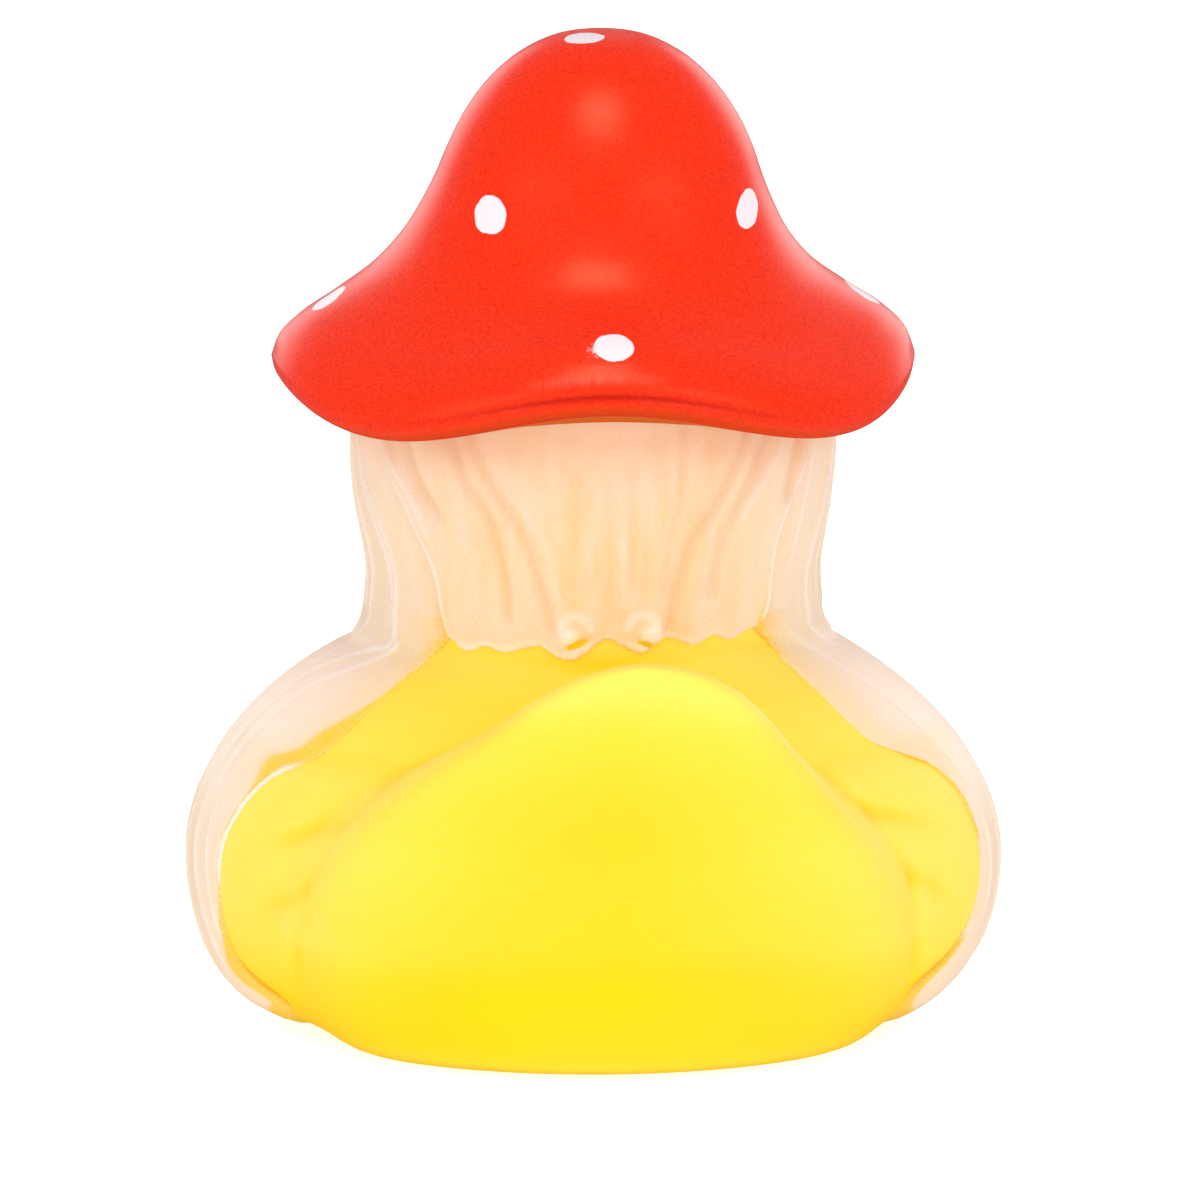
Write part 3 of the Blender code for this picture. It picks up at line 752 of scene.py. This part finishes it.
# Painted highlight on the pleats' tops and painted shade in their troughs.
crest += 0.3 * np.maximum(pleat, 0) ** 2
valley += 0.5 * np.maximum(-pleat, 0) ** 2
knob_highlight = np.zeros_like(relief)
for place in GATHERS:
    out = patch(z, angle, *place)
    relief += 0.34 * hill(out, 0.9)
    # A painted highlight on each knob, in crest and in the cream.
    crest += 1.2 * hill(out, 0.75)
    knob_highlight = np.maximum(knob_highlight, hill(out, 0.7))
for place in LOOPS:
    out = patch(z, angle, *place)
    loop = hill(out - 1, 0.28) * ease((z - place[1] + 0.4) / 0.8)
    relief += 0.12 * loop
    crest += 0.6 * loop
bare = sum(1 - ease(patch(z, angle, *spot) - 0.5) for spot in BARE_SPOTS)
relief -= 0.3 * bare
lower = ease((27.6 - z) / 1.6)
lip = 0.25 * hill(edge_gap - 0.45, 0.35) - 0.3 * hill(edge_gap - 1.2, 0.4)
relief += lower * lip * ease((z - 6) / 3)
hem_lip = hill(edge_gap - 0.35, 0.35) * (np.abs(turn) < HEM_ANGLE + 1) * (np.abs(level - HEM_Z) < 3)
relief += 0.1 * hem_lip
frayed = 0.08 * np.sin(np.radians(131 * angle)) + 0.07 * np.sin(4.1 * z + np.radians(53 * angle))
relief += frayed * hill(edge_gap, 0.9)

inside_lip = np.clip(edge_gap / LIP_RADIUS, 0, 1)
offset = relief - LIP_RADIUS * (1 - np.sqrt(1 - (1 - inside_lip) ** 2))
offset -= 0.55 * (1 - lower) * hill(edge_gap, 2) + 0.5 * hill(level - BASE_Z, 0.5)
offset -= (SUNK - YELLOW_DEPTH) * (edge_gap < -1e-6)
robe_grid = on_ring(angle, width + offset, length + offset, z)

# %% [markdown]
# The paint's values come from the same distances: a wandering line of ochre outside the edge, thin paint at
# the hem's ends, and the cream lip.

# %% The robe's paint
ochre = np.where(angle > 0, through(z, OCHRE_WIDTH[1]), through(z, OCHRE_WIDTH[-1]))
lip_width = 0.62 * ease((z - 11) / 6) * lower * (angle < 0)
ochre_line = hill(np.maximum(np.abs(edge_gap - lip_width - ochre) - 0.4 * ochre, 0), 0.6 * ochre)
ochre_share = 0.75 + 0.25 * ease((12 - z) / 5) - 0.35 * ease((z - 31.5) / 3)
beside, over_wing = to_side > 0, to_side > to_hem
thin = patches(z, angle, THIN_PAINT) + ochre_share * ochre_line * over_wing * (z < HEM_Z + 1)
thin += np.where(angle < 0, 0.8, 0.5) * hill(edge_gap, 0.22) * over_wing * (1 - ease(lip_width / 0.3))
thin += 0.5 * hill(to_side - 0.4, 0.8) * hill(z - HEM_Z, 2.2) * beside
thin += 0.3 * hill(to_side, 5.5) * beside * ease((z - 20) / 6) * (z < HEM_Z + 2)
pale = 1.5 * hill(np.maximum(edge_gap - 0.5, 0), 0.5) * lip_width * lower
# Cream on the hem's lip, and cream on the knobs as a painted highlight.
pale += hill(edge_gap - 0.2, 0.55) * (hem_lip > 0) * np.where(angle < -3, 1, 0.5) + 1.1 * knob_highlight
on_cape = ease((40 - z) / 6) * (1 - 0.6 * ease((28 - z) / 14))
robe_values = {
    # A painted highlight on crests and painted shade in valleys.
    "crest": np.clip(crest, 0, 1) * ease(edge_gap / 0.8),
    "valley": np.clip(valley, 0, 1) * ease(edge_gap / 0.8),
    # Partly the cape's paler tone, partly painted light: strongest on the shoulders in the cap's shade.
    "pale_cape_and_painted_light": np.maximum(on_cape, 0.6 * ease((np.abs(angle + 3.3) - 25) / 40)),
    "thin_paint": np.clip(thin, 0, 1),
    # Red overspray patches, and painted shade rising towards the brim.
    "red_mist_and_brim_shade": patches(z, angle, RED_MIST) + 0.5 * ease((z - 53.5) / 4.5),
    "bare": bare,
    "lip": np.clip(pale, 0, 1),
}
skin("robe", robe_grid, peach_paint, robe_values)

# %% [markdown]
# ## Sprayed red paint and its spots
#
# The cap is sprayed red, satin and finely speckled. White spots about 4 mm across are stamped on it, a little
# ragged at the rim, and beside one a mist of white has got under the mask. Under the brim the red thins to
# orange and is painted darker as shade, and the crease at the rear is painted dark as shade. Above the crease
# are scratches with a painted sheen. The spots are places on the cap, so its line comes first.

# %% The cap's line
BELL = [(-4.7, 93.85), (0, 94.28), (4.7, 93.8), (7.9, 92.2), (11.1, 89.3), (13.2, 86.3), (14.65, 83.3),
        (15.7, 80.5), (16.9, 77.8), (18.5, 74.9), (21, 71.9), (24.7, 69.1), (28.3, 66.6), (30.2, 64.6),
        (30.9, 62.7)]
ROLL = [(30.9, 62.7), (30.6, 61.5), (30, 60.8), (29.2, 60.42), (27.6, 60.17), (25, 60), (23.4, 59.9),
        (21.5, 59.8)]
BRIM_RADIUS = 30.8
WAVE_FROM = 17
REAR_RISE, SIDE_RISE, LOBE_DROP = 2.5, 0.4, 1.6


def brim_wave(angle):
    """Rise of the brim in mm: waves with four lobes and with two, so that it peaks at front and rear and dips
    between them, and one lobe at the front left that droops lower than the rest."""
    mean = (REAR_RISE + SIDE_RISE - 2 * LOBE_DROP) / 4
    four = (REAR_RISE + SIDE_RISE + 2 * LOBE_DROP) / 4 * np.cos(np.radians(4 * angle))
    two = (REAR_RISE - SIDE_RISE) / 2 * np.cos(np.radians(2 * angle))
    return mean + four + two - hill(angle + 118, 20) - 0.5 * hill(angle - 62, 20)


def cap_point(angle, radius, z):
    """A point of the cap: the bell's line turned about its axis, lifted by the wave towards the brim, with
    the top of its dome a little to the duck's right."""
    lift = brim_wave(angle) * ease((radius - WAVE_FROM) / (BRIM_RADIUS - WAVE_FROM))
    point = on_ring(angle, radius, radius, z + lift)
    point[..., 0] -= 0.7 * ease((z - 68) / 18)
    return point


bell_radius, bell_z = line_through(BELL, 150, first=1)
roll_radius, roll_z = line_through(ROLL, 46)
print("cap:", round(float(bell_z[0] - roll_z[-1]), 1), "mm tall")

# %% The spots
SPOTS = [
    # (angle, height on the line, half size across, half size along the slope, shear)
    (-42, 94.21, 1.95, 1.9, 0), (-42.5, 79, 2, 1.88, -0.2), (57.7, 78.7, 2.05, 1.85, 0.65),
    (-88, 68.6, 1.9, 1.95, -0.2), (91, 68.3, 1.9, 1.95, 0.2), (0.8, 67.1, 1.95, 1.95, 0),
    (-128, 80.5, 2, 2, 0), (146, 77.5, 2, 2, 0), (-168, 86, 2, 2, 0),
    (-150, 68.5, 2, 2, 0), (178, 70.5, 2, 2, 0), (-112, 73.5, 1.9, 1.9, 0),
    (132, 68, 2, 2, 0),
]


def spot_gap(points):
    """Distance in mm outside the nearest spot, less than 0 within it. Offsets from a spot's centre are split
    into u round the cap and v along its slope. With half sizes a and b and a shear k, the distance is
    a ((((u - k v) / a)^2 + (v / b)^2)^0.5 - 1)."""
    nearest = np.full(points.shape[:2], 99)
    for spot_angle, spot_z, half_across, half_along, shear in SPOTS:
        spot_r = np.interp(-spot_z, -bell_z, bell_radius)
        centre = cap_point(spot_angle, spot_r, spot_z)
        turn = np.radians(spot_angle)
        across = np.array([-np.cos(turn), -np.sin(turn), 0])
        inner = spot_r * 0.97
        step = cap_point(spot_angle, inner, np.interp(inner, bell_radius, bell_z)) - centre
        along = step / np.linalg.norm(step)
        u, v = (points - centre) @ across, (points - centre) @ along
        away = np.abs((points - centre) @ np.cross(across, along))
        out = np.hypot((u - shear * v) / half_across, v / half_along)
        nearest = np.minimum(nearest, np.where(away < 3, (out - 1) * half_across, 99))
    return nearest


print(len(SPOTS), "spots")

# %% Red paint
def sprayed_red_paint(name):
    """Red with darker specks. Under the brim it is thinner and orange, and darker as painted shade. The crease
    is dark as painted shade, and above it are scratches with a painted sheen. The spots are white, and so is
    the stray mist beside them."""
    noises, tint = [(0.28, 2), (12, 2), (1.2, 3)], (1, 0.85, 0.5, 1)
    made, tree, place, grain, clouds, wobble = coat(name, 0.3, 1.5, 0.24, noises, tint)
    speck = add(tree, "MapRange", {0: grain, 1: 0.4, 2: 0.7, 4: 0.7})
    upright = add(tree, "Mapping", {"Vector": place, "Scale": (1, 0.3, 0.15)})
    scratches = add(tree, "TexNoise", {"Vector": upright, "Scale": per_metre(0.35), "Detail": 2})
    # Fine scratches above the rear crease, with a painted sheen.
    scuff_and_sheen = add(tree, "Math", {0: scratches, 1: "scuff_and_sheen"}, operation="MULTIPLY")
    scuff_and_sheen = add(tree, "MapRange", {0: scuff_and_sheen, 1: 0.1, 2: 0.6, 4: 0.4})
    thin = ragged(tree, grain, 0.8, "thin_paint", 0.75, 1.15)
    white = ragged(tree, wobble, 0.5, "spot_gap", 0.3, 0.2)
    mist = ragged(tree, grain, 1.2, "stray_white", 0.85, 1.4, 0.9)
    chalk = add(tree, "Math", {0: white, 1: mist}, operation="MAXIMUM")
    whites = add(tree, "Mix", {0: grain, 6: linear("#f0e0e6"), 7: linear("#f8eef2")}, 2, data_type="RGBA")
    layers = [
        # Under the brim thinner, more orange paint darkened as painted shade; the crease is painted shade.
        (clouds, "#fc2f0d"), (speck, "#cf1402"), ("under", "#cf380a"), (thin, "#cc5a0e"),
        ("crease", "#c40e04"), (scuff_and_sheen, "#fb7f66"), (chalk, whites),
    ]
    dusty = add(tree, "MapRange", {0: "under", 3: 0.3, 4: 0.9})
    tree.links.new(dusty, tree.nodes["Principled BSDF"].inputs["Roughness"])
    coated = add(tree, "Bump", {"Height": white, "Distance": 0.04 * MM, "Strength": 1})
    peeled = {"Height": grain, "Distance": 0.016 * MM, "Normal": coated, "Strength": 1}
    return covered(made, "#ff3511", layers, add(tree, "Bump", peeled))


red_paint = sprayed_red_paint("sprayed_red_paint_on_vinyl")
print(red_paint.name, "has", len(red_paint.node_tree.nodes), "nodes")

# %% [markdown]
# ## The mushroom cap
#
# A bell turned about the neck's axis, with a brim that waves and rolls under. Its rows go from the middle of
# the underside round the roll to the top. At the rear the roll has a crease, painted dark as shade.

# %% The cap's skin
CAP_COLUMNS = 440
around = np.linspace(-180, 180, CAP_COLUMNS + 1)[:-1][None, :]
line_radius = np.concatenate([roll_radius[:0:-1], bell_radius[::-1][:-1]])[:, None]
line_z = np.concatenate([roll_z[:0:-1], bell_z[::-1][:-1]])[:, None]
below = np.arange(len(line_z))[:, None] < len(roll_z) - 1
at_rear = hill(around, 30)
groove = hill(line_z - 62.4, 0.34) * (line_radius > 28) * at_rear
bead = hill(line_z - 63.6, 0.6) * (line_radius > 28) * at_rear
cap_grid = cap_point(around, np.maximum(line_radius - 0.35 * groove + 0.2 * bead, 0), line_z + 0 * around)
rear_spot = cap_grid[np.abs(line_z[:, 0] - 67.1).argmin(), np.abs(around[0] - 0.8).argmin()]
astray = np.linalg.norm(cap_grid - rear_spot - [1.6, 0.3, -0.2], axis=-1)
# A painted shadow line where the underside meets the neck, towards the rear.
edge_shade = 0.7 * hill(line_z - 60.5, 0.09) * below * hill(around + 12, 26)
cap_values = {
    # Thinner, orange paint under the brim, also darker there as painted shade.
    "under": ease((62 - line_z) / 1.4) * below + 0 * around,
    "thin_paint": ease((60.4 - line_z) / 0.2) * below + 0 * around,
    # The rear crease and that shadow line, painted dark as shade.
    "crease": np.clip(0.9 * groove + edge_shade, 0, 1),
    # Scratches above the crease with a painted sheen.
    "scuff_and_sheen": 0.8 * hill(line_z - 64.2, 0.7) * hill(around + 3, 13) * (line_radius > 28),
    "spot_gap": spot_gap(cap_grid),
    "stray_white": 0.5 * hill(astray, 1.1),
}
skin("red_cap", cap_grid, red_paint, cap_values)

# %% [markdown]
# ## Face, hood and bill
#
# The photograph shows none of the front, so it is kept plain: a round yellow face in the robe's hood, an
# orange bill with its halves closed, and black eyes. Each piece is laid out on its back, with up as forwards,
# and then tipped up on the neck.

# %% Paints for bill and eyes
def sprayed_orange_paint(name):
    """Orange in two slow tones, with fine, deeper specks."""
    made, tree, place, grain, clouds = coat(name, 0.4, 1.5, 0.5, [(0.35, 2), (7, 2)])
    speck = add(tree, "MapRange", {0: grain, 1: 0.45, 2: 0.8, 4: 0.25})
    return covered(made, "#fd8f1c", [(clouds, "#f97f12"), (speck, "#ea6a08")], peel(tree, place, 0.012))


def stamped_black_paint(name, glints):
    """Glossy black, stamped by a soft pad, with white glints stamped on each eye."""
    made, tree, place, grain = coat(name, 0.16, 1.5, 0.5, [(0.3, 2)])
    layers = [(grain, "#221c1a")]
    for centre, size in glints:
        gap = add(tree, "VectorMath", {0: place, 1: centre}, 1, operation="DISTANCE")
        white = add(tree, "MapRange", {0: gap, 1: (size + 0.04) * MM, 2: (size - 0.04) * MM})
        layers.append((white, "#fbf8f4"))
    return covered(made, "#141010", layers, peel(tree, place, 0.004))


orange_paint = sprayed_orange_paint("sprayed_orange_paint_on_vinyl")
print(orange_paint.name)

# %% Face
FACE_CENTRE = np.array([0, -20.3, 50.4])
FACE_HALVES = (12.4, 10.2, 5.2)


def full_turn(count):
    """count bearings at even steps round a full turn, in radians."""
    return np.linspace(0, 2 * np.pi, count, endpoint=False)


def tipped_up(across, up, forwards):
    """Points (across, -forwards, up) from the middle of the face."""
    return np.stack(np.broadcast_arrays(across, -forwards, up), axis=-1) + FACE_CENTRE


def face_front(across, up):
    """How far forwards the face's skin is: an ellipsoid, with cheeks that swell by half a millimetre."""
    inside = np.clip(1 - (across / FACE_HALVES[0]) ** 2 - (up / FACE_HALVES[1]) ** 2, 0, 1)
    cheeks = 0.5 * hill(np.hypot(np.abs(across) - 6.6, up + 3.2), 3.4)
    return FACE_HALVES[2] * np.sqrt(inside) + cheeks


bearing = full_turn(128)
slope = np.linspace(-np.pi / 2, np.pi / 2, 62)[1:-1, None]
across = FACE_HALVES[0] * np.cos(slope) * np.cos(bearing)
up = FACE_HALVES[1] * np.cos(slope) * np.sin(bearing)
forwards = np.where(slope > 0, face_front(across, up), FACE_HALVES[2] * np.sin(slope))
skin("face", tipped_up(across, up, forwards), yellow_vinyl)

# %% [markdown]
# The hood's rim is a soft roll along an oval that keeps to the round of the neck. Shallow gathers run across
# it, where the robe's pleats end.

# %% Hood rim
RIM_THICKNESS = 1.6
RIM_OVAL = (12.6, 10.5)
tube, oval = full_turn(28)[:, None], full_turn(260)
gathers = np.cos(26 * oval + 0.6 * np.sin(3 * oval))
thick = RIM_THICKNESS * (1 + 0.07 * gathers)
reach_out = 1 + thick * np.cos(tube) / 11.6
across, up = RIM_OVAL[0] * reach_out * np.cos(oval), RIM_OVAL[1] * reach_out * np.sin(oval)
on_neck = np.sqrt(np.maximum(23**2 - across**2, 0)) + FACE_CENTRE[1]
rim_grid = tipped_up(across, up, on_neck - 0.3 + thick * np.sin(tube))
rim_values = {
    # Painted highlight on the gathers' tops and painted shade between them.
    "crest": 0.45 * np.maximum(gathers, 0),
    "valley": 0.45 * np.maximum(-gathers, 0),
    # Half the cape's paler tone, which is partly painted light.
    "pale_cape_and_painted_light": 0.5,
    "thin_paint": 0.45 * hill(np.cos(tube) + 1, 0.4),
}
rim_values = {label: numbers + np.zeros_like(across) for label, numbers in rim_values.items()}
skin("hood_rim", rim_grid, peach_paint, rim_values, ring=True)

# %% [markdown]
# Each half of the bill is a row of flattened ovals from the face to the tip. The upper one is broad, with a
# low ridge and two nostrils, and the lower one is narrower and lies close beneath it.

# %% Bill


def bill_half(name, length, half_width, rise, drop, middle, start, nostrils):
    """Sections go from the face (s = 0) to the tip (s = 1), w (1 - 0.22 s) (1 - s^5)^0.5 wide each way. The
    top is at rise (1 - 0.55 s) (1 - s^6)^0.5 above the middle, and the bottom is the same way at drop."""
    s = np.concatenate([np.linspace(0, 0.8, 30), 1 - 0.2 * np.linspace(1, 0, 26)[1:-1] ** 2])[:, None]
    bearing = full_turn(96)
    broad = half_width * (1 - 0.22 * s) * np.sqrt(1 - s**5)
    blunt = np.sqrt(1 - s**6)
    across = broad * np.sign(np.cos(bearing)) * np.abs(np.cos(bearing)) ** 0.9
    high = np.where(np.sin(bearing) > 0, rise * (1 - 0.55 * s), drop * (1 - 0.3 * s)) * blunt
    up = high * np.sin(bearing) + 1.1 * (across / half_width) ** 2 * (1 - s) - 1.2 * s + 0.8 * s * s
    for side in (-1, 1):
        dent = hill(np.hypot(across - side * 2.1, 1.6 * (s - 0.42) * length), 0.75)
        up = up - nostrils * 0.55 * dent * (np.sin(bearing) > 0)
    skin(name, tipped_up(across, up + middle, length * s + start), orange_paint)


bill_half("lower_bill", 11, 6.7, 1.6, 2.3, -5.2, 2.6, 0)
bill_half("upper_bill", 13.2, 8.3, 3.1, 1.5, -3.2, 2.4, 1)

# %% [markdown]
# The eyes are raised ovals in the mould, stamped black. Each is a low dome whose foot follows the round of
# the face, so that no gap shows from any side.

# %% Eyes
EYE_ACROSS, EYE_UP = 5.3, 2.6
EYE_HALVES = (1.75, 2.45)
dome = np.array([(0.5, -0.6), (1, -0.6), (1, -0.05), (0.985, 0.14), (0.93, 0.3), (0.8, 0.43), (0.6, 0.52),
                 (0.35, 0.57), (0.15, 0.585)])


def eye_surface(side, share, lift, bearing):
    """A point of the eye: its oval's share out from the middle, lifted off the face's skin."""
    across = side * EYE_ACROSS + share * EYE_HALVES[0] * np.cos(bearing)
    up = EYE_UP + share * EYE_HALVES[1] * np.sin(bearing)
    return tipped_up(across, up, face_front(across, up) + lift)


glints = []
for side in (-1, 1):
    glints.append((Vector(eye_surface(side, 0.42, 0.56, 2.1) * MM), 0.55))
    glints.append((Vector(eye_surface(side, 0.45, 0.56, -0.9) * MM), 0.28))
black_paint = stamped_black_paint("stamped_black_paint_on_vinyl", glints)
shares_and_lifts = [through(np.linspace(0, 8, 41), enumerate(column))[:, None] for column in dome.T]
for side, label in ((-1, "eye_right"), (1, "eye_left")):
    skin(label, eye_surface(side, *shares_and_lifts, full_turn(64)), black_paint)

# %% [markdown]
# ## The studio
#
# A white sweep under soft light. Lamps and room together light a surface at about the level at which its
# colour shows as written. A small lamp high above the camera leaves two soft sheens on the cap, and two
# beyond the duck give the pale rims. The floor is brighter to the camera, so it is white but for the shadow.

# %% Floor
def white_paper(name):
    """Matt white paper with the faint tooth of its fibres. It glows a little more to the camera than to the
    duck, and what reflects it sees it darker."""
    made, tree, _, fibres = coat(name, 0.9, 1.45, 0.5, [(0.8, 3)])
    seen, glossy = [add(tree, "LightPath", out=number) for number in (0, 3)]
    glow = add(tree, "MapRange", {0: glossy, 3: 0.4, 4: 0.05})
    glow = add(tree, "Math", {0: seen, 1: 0.35, 2: glow}, operation="MULTIPLY_ADD")
    inputs = tree.nodes["Principled BSDF"].inputs
    inputs["Emission Color"].default_value = (1, 1, 1, 1)
    tree.links.new(glow, inputs["Emission Strength"])
    return covered(made, "#eeeeee", [(fibres, "#f3f3f3"), (glossy, "#707070")])


PAPER_HALF, PAPER_Z = 3, -0.00005
floor_mesh = bpy.data.meshes.new("paper_floor")
corners = [(PAPER_HALF * x, PAPER_HALF * y, PAPER_Z) for x, y in ((-1, -1), (1, -1), (1, 1), (-1, 1))]
floor_mesh.from_pydata(corners, [], [(0, 1, 2, 3)])
floor_mesh.materials.append(white_paper("rolled_white_paper"))
floor = placed("paper_floor", floor_mesh)

# %% Lamps and room
LAMPS = [
    # (name, azimuth, elevation, distance, size, the share of full light that it gives a surface)
    ("high_soft_lamp", AZIMUTH, 66, 0.6, 0.24, 0.34),
    ("left_rim_lamp", 24, 8, 1, 0.5, 0.11),
    ("right_rim_lamp", 329, 8, 1, 0.5, 0.13),
    ("left_fill_lamp", 132.7, 10, 1.2, 0.9, 0.23),
    ("right_fill_lamp", 220.7, 10, 1.2, 0.9, 0.24),
]
LIT_PLACE = Vector((0, 0, 45)) * MM
for name, azimuth, elevation, distance, size, strength in LAMPS:
    light = bpy.data.lights.new(name, "AREA")
    light.shape, light.size = "SQUARE", size
    light.energy = strength * np.pi**2 * distance**2
    aimed(name, light, LIT_PLACE, azimuth, elevation, distance)

world = bpy.data.worlds.new("white_room")
bpy.context.scene.world = world
world.use_nodes = True
room = world.node_tree
seen, glossy = [add(room, "LightPath", out=number) for number in (0, 3)]
diffuse_level = add(room, "MapRange", {0: glossy, 3: 0.6, 4: 0.35})
brightness = add(room, "MapRange", {0: seen, 3: diffuse_level, 4: 1})
background = room.nodes["Background"]
background.inputs["Color"].default_value = (1, 1, 1, 1)
room.links.new(brightness, background.inputs["Strength"])
bpy.context.scene.view_settings.view_transform = "Standard"
print("lit by", [light.name for light in bpy.data.lights])
